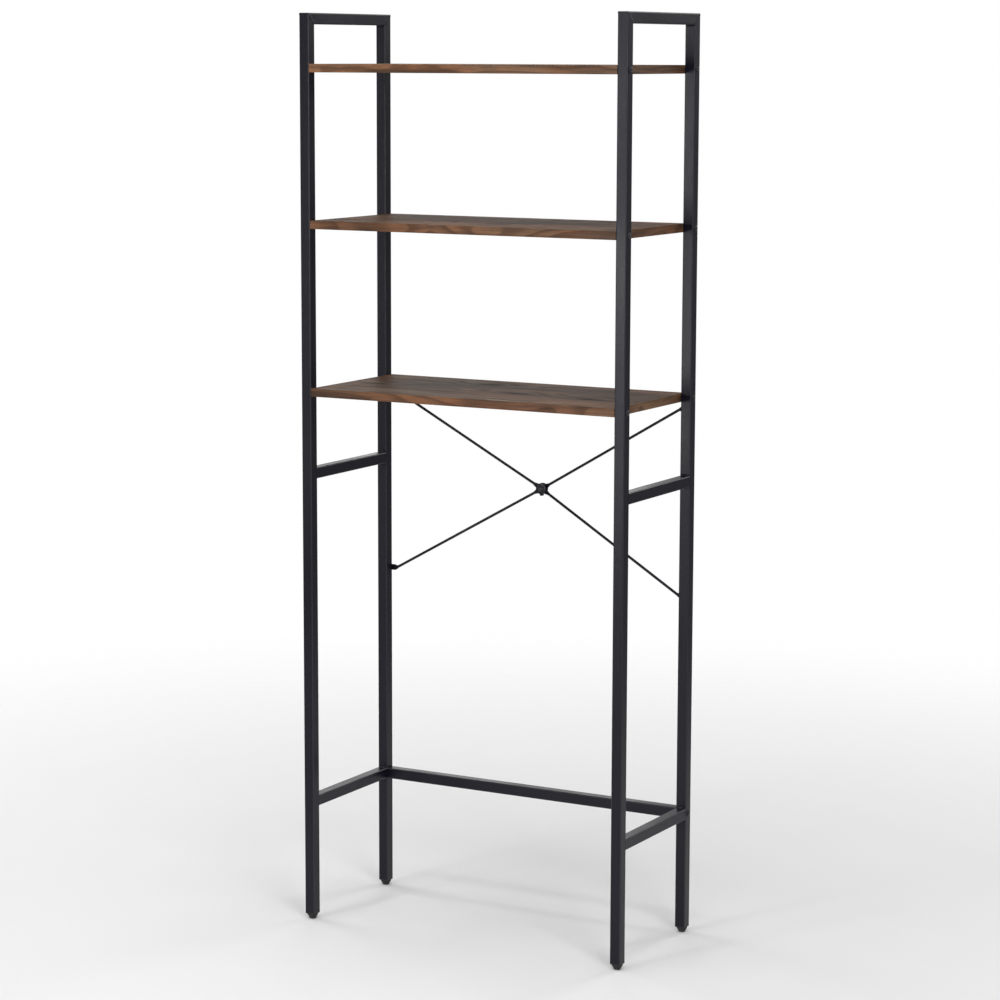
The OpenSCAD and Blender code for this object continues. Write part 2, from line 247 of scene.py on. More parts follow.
def set_at(rings, origins, normals):
    """Copies of a part whose own axis is +Z, in millimetres: copy k stands at origins[k] in
    metres with its axis along normals[k]."""
    n = np.array(normals, float)
    side = np.where(np.abs(n[:, 2:3]) > 0.9, [[1.0, 0, 0]], [[0, 0, 1.0]])
    x = np.cross(side, n)
    y = np.cross(n, x)
    axes = np.stack([x, y, n], 1)
    return np.einsum("rpc,kcd->krpd", rings * MM, axes) + np.array(origins)[:, None, None, :]


print("a cone of two rings with four sides is", turned([1, 0], [0, 1], 4).shape)

# %% [markdown]
# ## Node helpers
#
# Materials are built as node trees. A few small helpers keep the recipes readable: one puts a
# node into a tree and feeds its inputs in order, and the others add the kinds of node that come
# again and again.

# %% Putting nodes into a tree
def put(tree, kind, settings, *feeds):
    """Add a node with its settings, and feed its inputs in order: a socket is linked, a number
    is set and None is left alone. The answer is the node's first output."""
    made = tree.nodes.new(kind)
    for name, value in settings.items():
        setattr(made, name, value)
    for inlet, feed in zip(made.inputs, feeds):
        if isinstance(feed, bpy.types.NodeSocket):
            tree.links.new(feed, inlet)
        elif feed is not None:
            inlet.default_value = feed
    return made.outputs[0]


def sums(tree, operation, *feeds):
    """A Math node."""
    return put(tree, "ShaderNodeMath", {"operation": operation}, *feeds)


def spread(tree, value, low, high, to_low=0.0, to_high=1.0):
    """Where value runs from low to high, the answer runs smoothly from to_low to to_high."""
    settings = {"interpolation_type": "SMOOTHSTEP"}
    return put(tree, "ShaderNodeMapRange", settings, value, low, high, to_low, to_high)


# %% Scaled vectors, noise and axes
def scaled(tree, vector, scale):
    """A vector multiplied by scale, one number for each axis."""
    return put(tree, "ShaderNodeVectorMath", {"operation": "MULTIPLY"}, vector, scale)


def noise(tree, vector, scale, detail=2.0, roughness=0.5):
    """Noise on a vector, with scale patches per metre on each axis."""
    stretched = scaled(tree, vector, scale)
    return put(tree, "ShaderNodeTexNoise", {}, stretched, None, 1.0, detail, roughness)


def axes_of(tree, vector):
    """The three numbers of a vector, as sockets."""
    return put(tree, "ShaderNodeSeparateXYZ", {}, vector).node.outputs


# %% Colours
def tint(tree, share, a, b, mode="MIX"):
    """Mix of two colours, share of the way from a to b."""
    made = tree.nodes.new("ShaderNodeMix")
    made.data_type, made.blend_type = "RGBA", mode
    for index, feed in ((0, share), (6, a), (7, b)):
        if isinstance(feed, bpy.types.NodeSocket):
            tree.links.new(feed, made.inputs[index])
        else:
            made.inputs[index].default_value = feed
    return made.outputs[2]


def ramp(tree, value, stops):
    """Colours along a value: each stop is its place and its colour."""
    colours = put(tree, "ShaderNodeValToRGB", {}, value)
    elements = colours.node.color_ramp.elements
    while len(elements) < len(stops):
        elements.new(0.5)
    for element, (place, colour) in zip(elements, stops):
        element.position = place
        element.color = (*colour, 1)
    return colours


print("node helpers:", [f.__name__ for f in (put, sums, spread, noise, axes_of, tint, ramp)])

# %% [markdown]
# An effect that several finishes share is a node group with named inputs and outputs. `effect`
# starts one and `use` places it. `finish` starts a material: numbers that are the same all over
# the surface are set on its Principled BSDF at once.

# %% Node groups
FLOAT, VECTOR, COLOUR = "NodeSocketFloat", "NodeSocketVector", "NodeSocketColor"


def effect(name, inlets, outlets):
    """A node group: its tree, its inputs to read from and its outputs to write to."""
    tree = bpy.data.node_groups.new(name, "ShaderNodeTree")
    for direction, sockets in (("INPUT", inlets), ("OUTPUT", outlets)):
        for socket, kind in sockets:
            tree.interface.new_socket(name=socket, in_out=direction, socket_type=kind)
    return tree, tree.nodes.new("NodeGroupInput").outputs, tree.nodes.new("NodeGroupOutput").inputs


def use(tree, group, *feeds):
    """Place a group in a tree, feed its inputs in order, and give back its outputs."""
    return put(tree, "ShaderNodeGroup", {"node_tree": group}, *feeds).node.outputs


# %% Materials
def finish(name, **constants):
    """A material, its tree, its shader's inputs, and the place on the object in metres."""
    material = bpy.data.materials.new(name)
    material.use_nodes = True
    tree = material.node_tree
    inlets = tree.nodes["Principled BSDF"].inputs
    for socket, value in constants.items():
        inlets[socket.replace("_", " ")].default_value = value
    place = tree.nodes.new("ShaderNodeTexCoord").outputs["Object"]
    return material, tree, inlets, place


def relief(tree, inlets, height, depth):
    """Bump from a height between 0 and 1, which stands for depth in millimetres."""
    bump = put(tree, "ShaderNodeBump", {}, 1.0, depth * MM)
    tree.links.new(height, bump.node.inputs["Height"])
    tree.links.new(bump, inlets["Normal"])


# %% [markdown]
# ## Shared effects
#
# **Orange peel** is the dimpled skin of baked powder coat, about 2 mm from dimple to dimple with
# a finer grit on it, and a drift in gloss over the length of a tube.
# ** Corner** finds the rounded corners of a tube, which get a painted highlight and more gloss.
# **Dust** settles where a surface faces up, in loose patches and single specks.

# %% Orange peel
peel, take, give = effect(
    "orange_peel", [("Vector", VECTOR)], [("Height", FLOAT), ("Drift", FLOAT)]
)
dimples = noise(peel, take["Vector"], (480, 480, 480), 1.0)
grit = noise(peel, take["Vector"], (1500, 1500, 1500), 2.0)
drift = noise(peel, take["Vector"], (7, 7, 3), 4.0, 0.6)
peel.links.new(sums(peel, "MULTIPLY_ADD", grit, 0.8, dimples), give["Height"])
peel.links.new(spread(peel, drift, 0.3, 0.7), give["Drift"])
print("effect", peel.name, "has", len(peel.nodes), "nodes")

# %% Corners of a tube
corner, take, give = effect("tube_corner", [("A", FLOAT), ("B", FLOAT)], [("Mask", FLOAT)])
nearer = sums(corner, "MINIMUM", take["A"], take["B"])
corner.links.new(spread(corner, nearer, 0.80, 0.97), give["Mask"])
print("effect", corner.name, "has", len(corner.nodes), "nodes")

# %% Dust
dust, take, give = effect("dust", [("Vector", VECTOR), ("Amount", FLOAT)], [("Mask", FLOAT)])
facing = put(dust, "ShaderNodeNewGeometry", {}).node.outputs["Normal"]
level = spread(dust, axes_of(dust, facing)[2], 0.7, 0.98)
patches = spread(dust, noise(dust, take["Vector"], (26, 26, 26), 5.0, 0.65), 0.35, 0.75)
specks = spread(dust, noise(dust, take["Vector"], (1500, 1500, 1500), 1.0), 0.62, 0.70)
loose = sums(dust, "MULTIPLY_ADD", specks, 0.6, sums(dust, "MULTIPLY", patches, 0.4))
settled = sums(dust, "MULTIPLY", sums(dust, "MULTIPLY", loose, level), take["Amount"])
dust.links.new(settled, give["Mask"])
print("effect", dust.name, "has", len(dust.nodes), "nodes")

# %% [markdown]
# ## Powder coat
#
# Every tube, rod and plate has the same matte black powder coat. It is not quite black: where
# light strikes a flat side it reads as a cool dark grey. Along a tube's rounded corners a lighter
# colour is painted in as a painted highlight, and the coat is a little glossier there. To find the
# corners the material measures, on two axes, how far a point is from the tube's middle line in
# half widths: both are near 1 only at a corner. Legs, side bars and the crossbar lie along
# different axes, so each kind gets its own measuring, and rods and plates go without.

# %% Distance from a tube's middle line
def off_line(tree, axis, middles):
    """Distance on one axis from the nearest of some middle lines, in half tube widths."""
    gaps = [sums(tree, "ABSOLUTE", sums(tree, "SUBTRACT", axis, m)) for m in middles]
    nearest = gaps[0]
    for gap in gaps[1:]:
        nearest = sums(tree, "MINIMUM", nearest, gap)
    return sums(tree, "DIVIDE", nearest, HALF)


print(f"half a tube is {HALF / MM:.0f} mm")

# %% Powder coat
COAT = (0.0052, 0.0045, 0.0105, 1)
COAT_FADED = (0.0070, 0.0062, 0.0135, 1)
# The corners of the tubes get a painted highlight, a lighter colour, and a little less roughness.
COAT_CORNER_HIGHLIGHT = (0.044, 0.043, 0.050, 1)
COAT_ROUGH, COAT_ROUGH_FADED, CORNER_SMOOTHER = 0.30, 0.37, -0.07
PEEL_DEPTH = 0.085
DUST = (0.30, 0.29, 0.27, 1)
DUST_ROUGHER, DUST_ON_COAT = 0.8, 0.16


def powder_coat(name, first=None, second=None):
    """Powder coat, with a painted highlight and more gloss on the tube's corners where the two
    axes and their middle lines are given as (axis number, middle lines)."""
    material, tree, inlets, place = finish(name, Specular_IOR_Level=0.24)
    skin = use(tree, peel, place)
    colour = tint(tree, skin["Drift"], COAT, COAT_FADED)
    rough = spread(tree, skin["Drift"], 0, 1, COAT_ROUGH, COAT_ROUGH_FADED)
    if first:
        axes = axes_of(tree, place)
        mask = use(tree, corner, *(off_line(tree, axes[n], at) for n, at in (first, second)))[0]
        # Painted highlight: the corners are tinted lighter.
        colour = tint(tree, mask, colour, COAT_CORNER_HIGHLIGHT)
        rough = sums(tree, "MULTIPLY_ADD", mask, CORNER_SMOOTHER, rough)
    settled = use(tree, dust, place, DUST_ON_COAT)[0]
    rough = sums(tree, "MULTIPLY_ADD", settled, DUST_ROUGHER, rough)
    tree.links.new(tint(tree, settled, colour, DUST), inlets["Base Color"])
    tree.links.new(rough, inlets["Roughness"])
    relief(tree, inlets, skin["Height"], PEEL_DEPTH)
    return material


# %% One powder coat for each direction of tube
both_sides = (-LEG_X, LEG_X)
coat_legs = powder_coat("powder_coat_legs", (0, both_sides), (1, (FRONT_Y, REAR_Y)))
coat_sides = powder_coat(
    "powder_coat_side_bars", (0, both_sides), (2, (*RUNG_HEIGHTS, TOP_BAR_HEIGHT))
)
coat_crossbar = powder_coat("powder_coat_crossbar", (1, (REAR_Y,)), (2, (CROSSBAR_HEIGHT,)))
coat_plain = powder_coat("powder_coat_small_parts")
print("powder coats:", [m.name for m in (coat_legs, coat_sides, coat_crossbar, coat_plain)])

# %% [markdown]
# ## Wood print
#
# The boards are chipboard under a printed film of old, weathered wood. The print has, from large
# to small: a drift between dark and light and between warm and greyish brown, growth lines that
# wander and part round knots, dark streaks, long fibres, cracks, short pores, and faint saw marks
# across. All of it is one group that reads a vector whose first number runs along the grain.
#
# Each noise gets patches per metre along the grain, across it and in height, so a small first
# number beside large ones draws long thin marks.

# %% Wood print: drift
wood, take, give = effect(
    "wood_print",
    [("Grain", VECTOR)],
    [("Color", COLOUR), ("Dark", FLOAT), ("Height", FLOAT)],
)
grain = take["Grain"]
tone = noise(wood, grain, (2.2, 13, 10), 5.0, 0.60)
warmth = noise(wood, grain, (2.9, 9, 12), 4.0, 0.60)
wander = noise(wood, grain, (2.1, 9, 7), 3.0)
streak = noise(wood, grain, (4.5, 52, 60), 5.0, 0.66)
print("four slow noises drift through", wood.name)

# %% [markdown]
# A knot sits at the middle of a flat Voronoi cell, which is longer along the grain than across.
# The cells are shifted along the grain by the height, so that no two boards have the same knots.
# Growth lines are the fraction of a number that grows across the grain. The wandering noise bends
# them, and the swell round a knot pushes them apart.

# %% Wood print: knots and growth lines
SHIFT_WITH_HEIGHT, LINES_PER_M, WANDER, PARTING = 3.7, 62.0, 9.0, 2.6
along, across, depth = axes_of(wood, grain)
shifted = sums(wood, "MULTIPLY_ADD", depth, SHIFT_WITH_HEIGHT, along)
flat = put(wood, "ShaderNodeCombineXYZ", {}, shifted, across)
cells = {"voronoi_dimensions": "2D"}
knot_far = put(wood, "ShaderNodeTexVoronoi", cells, scaled(wood, flat, (2.6, 8, 1)), None, 1.0)
knot = spread(wood, knot_far, 0.12, 0.03)
swell = spread(wood, knot_far, 0.42, 0.05)
straight = sums(wood, "MULTIPLY", sums(wood, "ADD", across, depth), LINES_PER_M)
bent = sums(wood, "MULTIPLY_ADD", wander, WANDER, straight)
growth = sums(wood, "FRACT", sums(wood, "MULTIPLY_ADD", swell, PARTING, bent))
late = sums(wood, "MULTIPLY", spread(wood, growth, 0.25, 0.82), spread(wood, growth, 1.0, 0.88))
print(f"growth lines about {1 / LINES_PER_M / MM:.0f} mm apart")

# %% Wood print: fibres, pores, cracks and saw marks
fibre = noise(wood, grain, (9, 620, 620), 4.0, 0.62)
pores = spread(wood, noise(wood, grain, (34, 1500, 1500), 2.0), 0.60, 0.70)
cracks = spread(wood, noise(wood, grain, (5, 190, 190), 4.0, 0.7), 0.635, 0.70)
saw = spread(wood, noise(wood, grain, (520, 5, 5), 2.0), 0.60, 0.72)
print("wood print has", len(wood.nodes), "nodes so far")

# %% [markdown]
# At each place the strongest of growth line, knot, crack and pore wins, so they never add up to
# black, and a saw mark darkens it a little more. Under them lies the tone, which the warmth turns
# towards red or grey, with light fibres and dark streaks over it. Whatever is marked dark is also
# a little lower.

# %% Wood print: colour and relief
SHADES = (
    (0.30, (0.046, 0.025, 0.015)),
    (0.44, (0.108, 0.060, 0.035)),
    (0.55, (0.176, 0.100, 0.058)),
    (0.68, (0.240, 0.148, 0.092)),
)
GREYER, REDDER = (0.90, 1.02, 1.10, 1), (1.24, 0.96, 0.74, 1)
LIGHT_FIBRE, DARK_STREAK = (0.285, 0.172, 0.104, 1), (0.042, 0.027, 0.020, 1)
MARK = (0.020, 0.014, 0.011, 1)
dark = sums(wood, "MULTIPLY", late, 0.46)
for mark, strength in ((knot, 0.80), (cracks, 0.62), (pores, 0.42)):
    dark = sums(wood, "MAXIMUM", dark, sums(wood, "MULTIPLY", mark, strength))
dark = sums(wood, "MULTIPLY_ADD", saw, 0.07, dark)
hue = tint(wood, spread(wood, warmth, 0.38, 0.60), GREYER, REDDER)
shades = tint(wood, 1.0, ramp(wood, tone, SHADES), hue, "MULTIPLY")
lit = tint(wood, spread(wood, fibre, 0.3, 0.7, 0.0, 0.45), shades, LIGHT_FIBRE)
lit = tint(wood, spread(wood, streak, 0.32, 0.60, 0.72, 0.0), lit, DARK_STREAK)
raised = sums(wood, "SUBTRACT", sums(wood, "MULTIPLY", fibre, 0.6), dark)
wood.links.new(tint(wood, dark, lit, MARK), give["Color"])
wood.links.new(dark, give["Dark"])
wood.links.new(raised, give["Height"])
print("effect", wood.name, "has", len(wood.nodes), "nodes")

# %% [markdown]
# ## Boards and bands
#
# On a board the grain runs along the rack's width. On the edge band it runs along the band,
# which turns the corner: x + y grows along all four sides of the board, so it serves as the
# length there, and the height lies across. The film stops at the band with a hairline joint,
# found as the distance to the board's border.

# %% Printed film on the boards
board_low, board_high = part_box("shelf_bottom")
JOINT, JOINT_DARK = (0.4 * MM, 0.1 * MM), (0.012, 0.009, 0.008, 1)
FILM_ROUGH, FILM_DEPTH, DUST_ON_FILM = (0.56, 0.70), 0.05, 0.10


def laminate():
    """Printed film on the boards' faces."""
    material, tree, inlets, place = finish("board_film", Specular_IOR_Level=0.10)
    printed = use(tree, wood, place)
    x, y, _ = axes_of(tree, place)
    inside_x = sums(tree, "SUBTRACT", board_high.x, sums(tree, "ABSOLUTE", x))
    off_middle = sums(tree, "ABSOLUTE", sums(tree, "SUBTRACT", y, MIDDLE_Y))
    inside_y = sums(tree, "SUBTRACT", board_high.y - MIDDLE_Y, off_middle)
    joint = spread(tree, sums(tree, "MINIMUM", inside_x, inside_y), *JOINT)
    settled = use(tree, dust, place, DUST_ON_FILM)[0]
    colour = tint(tree, joint, printed["Color"], JOINT_DARK)
    tree.links.new(tint(tree, settled, colour, DUST), inlets["Base Color"])
    tree.links.new(spread(tree, printed["Dark"], 0, 0.8, *FILM_ROUGH), inlets["Roughness"])
    relief(tree, inlets, printed["Height"], FILM_DEPTH)
    return material


film = laminate()
print("board", [round(v, 3) for v in board_high - board_low], "m in", film.name)

# %% Printed band on the edges
BAND_LAYER = 0.37
BAND_WARMER = (1.08, 0.93, 0.80, 1)
BAND_ROUGH, BAND_DEPTH = (0.46, 0.62), 0.04


def edge_band():
    """Printed band round the boards' edges, a little redder than the faces. It shows the layer
    of the print that lies BAND_LAYER deep."""
    material, tree, inlets, place = finish("edge_band", Specular_IOR_Level=0.22)
    x, y, z = axes_of(tree, place)
    length, height = sums(tree, "ADD", x, y), sums(tree, "MULTIPLY", z, 0.9)
    printed = use(tree, wood, put(tree, "ShaderNodeCombineXYZ", {}, length, height, BAND_LAYER))
    warm = tint(tree, 1.0, printed["Color"], BAND_WARMER, "MULTIPLY")
    tree.links.new(warm, inlets["Base Color"])
    tree.links.new(spread(tree, printed["Dark"], 0, 0.8, *BAND_ROUGH), inlets["Roughness"])
    relief(tree, inlets, printed["Height"], BAND_DEPTH)
    return material


band = edge_band()
print("edges in", band.name)

# %% [markdown]
# ## Metal and plastic of the small parts
#
# Bolts and screws are black-zinc plated steel, bright where a key has rubbed the socket. Nuts
# and stems are bright zinc, with a faint blue and straw bloom. Inserts and bushes are turned
# brass. Feet and plugs are black moulded plastic with a fine spark-eroded skin, scuffed where it
# meets the floor. The rubbed places come from the wear value that the pieces carry themselves.

# %% Finish of a small part
def small_part(name, colour, other, worn, rough, grain_mm, depth, **constants):
    """A finish that clouds from one colour to another, turns to worn where the wear value
    says, and has a fine grain of that size and depth in millimetres."""
    material, tree, inlets, place = finish(name, **constants)
    clouds = spread(tree, noise(tree, place, (90, 90, 90), 4.0, 0.6), 0.3, 0.7)
    fine = noise(tree, place, (1 / (grain_mm * MM),) * 3, 2.0)
    wear = put(tree, "ShaderNodeAttribute", {"attribute_name": "wear"}).node.outputs["Fac"]
    rubbed = sums(tree, "MULTIPLY", wear, spread(tree, fine, 0.25, 0.6))
    base = tint(tree, clouds, (*colour, 1), (*other, 1))
    tree.links.new(tint(tree, rubbed, base, (*worn, 1)), inlets["Base Color"])
    dull = spread(tree, clouds, 0, 1, rough - 0.05, rough + 0.06)
    tree.links.new(dull, inlets["Roughness"])
    relief(tree, inlets, fine, depth)
    return material


# %% Black zinc, bright zinc, brass and moulded plastic
black_zinc = small_part(
    "black_zinc", (0.020, 0.020, 0.024), (0.030, 0.030, 0.034), (0.19, 0.19, 0.20),
    rough=0.46, grain_mm=0.35, depth=0.006, Metallic=0.35,
)
bright_zinc = small_part(
    "bright_zinc", (0.58, 0.60, 0.64), (0.66, 0.64, 0.58), (0.80, 0.80, 0.81),
    rough=0.30, grain_mm=0.50, depth=0.006, Metallic=1.0,
)
brass = small_part(
    "turned_brass", (0.66, 0.47, 0.19), (0.58, 0.42, 0.20), (0.80, 0.62, 0.30),
    rough=0.28, grain_mm=0.40, depth=0.005, Metallic=1.0,
)
moulded = small_part(
    "moulded_plastic", (0.0090, 0.0090, 0.0098), (0.0125, 0.0125, 0.0135), (0.075, 0.073, 0.070),
    rough=0.50, grain_mm=0.45, depth=0.020, Specular_IOR_Level=0.40,
)
print("small parts:", [m.name for m in (black_zinc, bright_zinc, brass, moulded)])

# %% [markdown]
# ## Finishes of the frame's own nodes
#
# Their shapes are right already, so each one's material is simply exchanged for the one made
# above.

# %% Dress the nodes
def dress(material, *starts):
    """Give the material to every node whose name starts with one of the words."""
    dressed = [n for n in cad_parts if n.startswith(starts)]
    for name in dressed:
        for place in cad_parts[name].material_slots:
            place.material = material
    print(material.name, "on", len(dressed), "nodes")


dress(coat_legs, "leg_")
dress(coat_sides, "top_bar_", "mid_rung_", "lower_rung_")
dress(coat_crossbar, "rear_crossbar")
dress(film, "shelf_")
dress(band, "band_")
dress(brass, "inserts_", "foot_bushes")
dress(moulded, "foot_plug_")
dress(bright_zinc, "crossbar_plugs", "brace_rivet_nuts")

# %% [markdown]
# ## Button-head bolts
#
# A button head is a low dome on a short upright rim, with a hexagon socket sunk into its middle.
# It could be cut out with booleans, but a lathe profile can do the socket too: the rings inside
# the head are hexagons and the rings outside are circles, and the ring between them joins both.

# %% Button-head bolt
def hexagon(sides):
    """How far a unit hexagon's border is from its middle at each angle: cos 30 / cos(a), with
    a the angle to the nearest flat's middle."""
    a = np.mod(around(sides), pi / 3) - pi / 6
    return cos(pi / 6) / np.cos(a)


def button_bolt(shank, length, head, rise, socket, floor, sides=48):
    """Rings of a bolt that stands on z = 0: socket floor, hexagon wall, a broken edge, the
    dome head sin a, the rim, the underside, the shank and its tip. Also a wear value for each.
    shank and head are radii, socket is the hexagon's width, and all are in millimetres."""
    rim, lip, tip, bevel, under = 0.35, 1.12, 0.6, 0.12, 0.25
    key = socket / sqrt(3)
    a = np.linspace(np.arccos(key * lip / head), 0, 9)
    dome_r, dome_z = head * np.cos(a), rim + (rise - rim) * np.sin(a)
    in_socket = [(0, floor - 0.25), (key * 0.55, floor), (key, floor), (key, dome_z[0] - 0.22)]
    on_shank = [
        (head, bevel), (head - bevel, 0), (shank + under, 0), (shank, -under),
        (shank, tip - length), (shank - tip, -length), (0, -length),
    ]
    r, z = np.array([*in_socket, *zip(dome_r, dome_z), *on_shank]).T
    six = (np.arange(len(r)) < len(in_socket))[:, None]
    socket_edge, rim_edge = len(in_socket), len(in_socket) + len(a)
    wear = np.zeros((len(r), sides))
    wear[socket_edge - 1:socket_edge + 1] = 0.9
    wear[rim_edge - 1:rim_edge + 1] = 0.35
    return turned(r[:, None] * np.where(six, hexagon(sides), 1), z, sides), wear


M6 = button_bolt(shank=3.0, length=31, head=5.5, rise=3.0, socket=4.0, floor=1.0)
print("an M6 bolt has", len(M6[0]), "rings")

# %% Bolts through the legs
OUTER_X = LEG_X + HALF


def bolts(name, rings_and_wear, origins, normals, stands_for):
    """Copies of one bolt as a single piece."""
    rings, wear = rings_and_wear
    copies = set_at(rings, origins, normals)
    wear = np.broadcast_to(wear, copies.shape[:3])
    solid(name, [(copies, False)], black_zinc, "rack", stands_for, wear)


for level in ("bottom", "middle", "top"):
    height = middle_height("shelf_" + level)
    ends = [(s, y) for s in LEFT_RIGHT for y in (FRONT_Y, REAR_Y)]
    heads = [(s * OUTER_X, y, height) for s, y in ends]
    outwards = [(s, 0, 0) for s, _ in ends]
    bolts("shelf_bolts_" + level, M6, heads, outwards, ["bolts_" + level])
heads = [(s * OUTER_X, REAR_Y, CROSSBAR_HEIGHT) for s in LEFT_RIGHT]
outwards = [(s, 0, 0) for s in LEFT_RIGHT]
bolts("crossbar_end_bolts", M6, heads, outwards, ["crossbar_bolts"])

# %% [markdown]
# ## Brace rods
#
# Each rod is round wire whose ends are pressed flat, bent level and screwed to the back of a leg,
# and whose middle is pressed flat where the two cross. The rods are a little longer than the gap,
# so they lean back to the crossing. A rod is swept along its line: the section is a
# superellipse whose two half widths and whose squareness change along the way, so round wire
# runs into flat tab in one smooth surface.

# %% Measures of the brace
screw_low, screw_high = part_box("brace_screws")
M5_HEAD = 4.75
ROD, TAB_T, MID_T, MID_W = 2.5 * MM, 2.0 * MM, 2.2 * MM, 9.0 * MM
TAB_X = screw_high.x - M5_HEAD * MM
TAB_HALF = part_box("brace_rod_rising")[1].x - TAB_X
TAB_END = TAB_X + TAB_HALF
BRACE_LOW, BRACE_TOP = screw_low.z + M5_HEAD * MM, screw_high.z - M5_HEAD * MM
BRACE_MIDDLE = (BRACE_TOP + BRACE_LOW) / 2
CROSS_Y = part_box("clamp_rear")[0].y - MID_T
BEND_X, BEND_R = LEG_X - 20 * MM, 5 * MM
print(f"brace screws at x {TAB_X:.4f}, z {BRACE_LOW:.4f} and {BRACE_TOP:.4f}")
print(f"rods cross at y {CROSS_Y:.4f}, z {BRACE_MIDDLE:.4f}")

# %% Smooth steps and corners
def smooth(value, low, high):
    """0 below low, 1 above high, and t^2 (3 - 2t) between."""
    t = np.clip((value - low) / (high - low), 0, 1)
    return t * t * (3 - 2 * t)


def soft_corner(distance, radius):
    """max(distance, 0), with its corner rounded to a parabola within radius of it."""
    near = np.clip((distance + radius) / (2 * radius), 0, 1)
    return np.where(distance > radius, distance, radius * near**2)


def squared(value, power):
    """sgn(value) |value|^power, which turns the cos and sin of a circle into a superellipse."""
    return np.sign(value) * np.abs(value) ** power


print("halfway up a step is", smooth(0.5, 0, 1))

# %% Sections on a line
def sections(line, wide, thick, power, sides):
    """Superellipse rings on a line: (wide sgn(cos) |cos|^power, thick sgn(sin) |sin|^power), the
    thickness lying along Y and square to the line, the width square to both."""
    step = np.gradient(line, axis=0)
    tangent = step / np.linalg.norm(step, axis=1, keepdims=True)
    back = np.array([0, 1.0, 0]) - tangent[:, 1:2] * tangent
    back /= np.linalg.norm(back, axis=1, keepdims=True)
    side = np.cross(tangent, back)
    a = around(sides)[None, :]
    w = wide[:, None] * squared(np.cos(a), power[:, None])
    t = thick[:, None] * squared(np.sin(a), power[:, None])
    return line[:, None] + w[..., None] * side[:, None] + t[..., None] * back[:, None]


# %% Places of the rings along a rod
def rod_places():
    """Distances of a rod's rings from the middle, on one side: close together at the flat
    middle, at the bend and round the tip, where they follow a sine, and far apart between."""
    stretches = ((0, 24 * MM, 34), (24 * MM, 270 * MM, 22), (270 * MM, 302 * MM, 48),
                 (302 * MM, TAB_X, 8))
    straight = [np.linspace(*stretch)[:-1] for stretch in stretches]
    tip = TAB_X + TAB_HALF * np.sin(np.linspace(0, 1, 30) * pi / 2)
    return np.concatenate([*straight, tip])


print("a rod has", 2 * len(rod_places()) - 1, "rings")

# %% Line and section of a rod
def rod(z_left, z_right, mid_y, sides=28):
    """Rings along a rod. With u the distance from the middle, the line is level at the leg,
    turns at the bend and runs straight to the crossing. Half width and half thickness blend
    from tab to wire to the flat middle, and the tip is a half circle."""
    away = rod_places()
    x = np.concatenate([-away[:0:-1], away])
    u = np.abs(x)
    run = soft_corner(BEND_X - u, BEND_R) / BEND_X
    z_end = np.where(x < 0, z_left, z_right)
    y_end = BACK + TAB_T / 2
    line = np.stack([x, y_end + (mid_y - y_end) * run, z_end + (BRACE_MIDDLE - z_end) * run], -1)
    to_tab = smooth(u, BEND_X - 4 * MM, BEND_X + BEND_R)
    to_mid = 1 - smooth(u, 8.5 * MM, 17 * MM)
    a = ROD + to_tab * (TAB_HALF - ROD) + to_mid * (MID_W / 2 - ROD)
    b = ROD + to_tab * (TAB_T / 2 - ROD) + to_mid * (MID_T / 2 - ROD)
    past_screw = ((u - TAB_X) / (TAB_END - TAB_X)).clip(0, 1)
    tip = np.sqrt(np.clip(1 - past_screw**2, 0, 1))
    power = 1 - 0.62 * np.maximum(to_tab, to_mid)
    return sections(line, a * tip, b * np.where(tip > 0, 1, 0), power, sides)


# %% Two rods
for name, z_left, z_right, sign in (
    ("falling", BRACE_TOP, BRACE_LOW, -1),
    ("rising", BRACE_LOW, BRACE_TOP, 1),
):
    rings = rod(z_left, z_right, CROSS_Y + sign * MID_T / 2)
    nodes = ["brace_rod_" + name]
    solid("rod_" + name, [(rings[None], False)], coat_plain, "rack", nodes)

# %% [markdown]
# ## Clamp at the crossing
#
# Two round plates hold the flattened rods, drawn together by a screw from the front and a nut
# behind. The plates are turned: their profile closes on itself round the hole. The front plate
# has a small lug at the bottom that hooks under the rear one.

# %% Profile of a plate
PLATE_R, PLATE_T, SCREW_R, CHAMFER = 10.5, 2.6, 2.5, 0.25
half_plate = [
    (SCREW_R, CHAMFER), (SCREW_R, 0), (PLATE_R, 0),
    (PLATE_R, PLATE_T), (SCREW_R, PLATE_T), (SCREW_R, PLATE_T - CHAMFER),
]
plate = softened(half_plate, [0.2, 0.35, 0.75, 0.2])
plate_rings = turned(plate[:, 0], plate[:, 1], 72)
print("plate of", len(plate), "rings,", 2 * PLATE_R, "mm across")

# %% Rounded block
def block(low, high, power=0.28, rings=10, sides=24):
    """A block with rounded edges between two corners, in metres: along Y the half widths follow
    a superellipse, and round Y the section is one too."""
    low, high = np.array(low), np.array(high)
    a, b = np.linspace(-pi / 2, pi / 2, rings)[:, None], around(sides)[None, :]
    out, deep = squared(np.cos(a), power), squared(np.sin(a), power)
    wide, tall = squared(np.cos(b), power), squared(np.sin(b), power)
    unit = np.stack([out * wide, deep + 0 * b, out * tall], -1)
    return (low + high) / 2 + unit * (high - low) / 2


print("a block has", len(block((-1, -1, -1), (1, 1, 1))), "rings")

